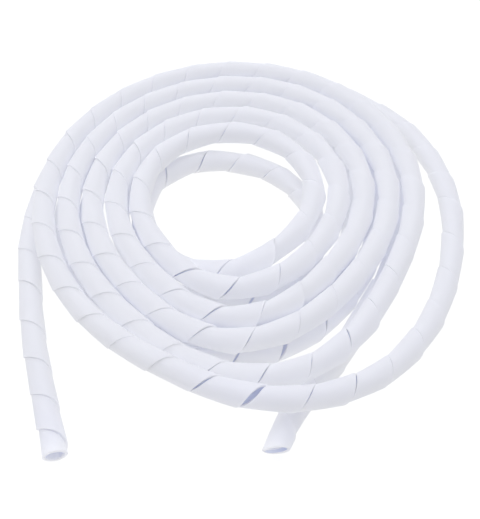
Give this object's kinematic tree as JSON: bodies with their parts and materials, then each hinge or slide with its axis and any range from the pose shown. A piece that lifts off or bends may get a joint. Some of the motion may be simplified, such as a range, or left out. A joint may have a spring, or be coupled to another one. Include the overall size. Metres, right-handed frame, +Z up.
{
  "type": "spiral cable wrap",
  "caption": "Loosely coiled length of milky spiral cable wrap, a flexible slit plastic tube, lying flat with both cut ends free.",
  "frame": {"origin": "middle of the coil's footprint, on the floor that it lies on", "axes": "+Z up out of the coil, -Y towards the side where both free ends lie, +X towards the loose outer turn"},
  "size_m": [0.2006, 0.2304, 0.0252],
  "materials": {
    "milky_plastic": "natural polyethylene, milky and slightly translucent, with a soft satin gloss"
  },
  "bodies": {
    "root": {"spiral_wrap_tube": "milky_plastic"}
  },
  "joints": []
}
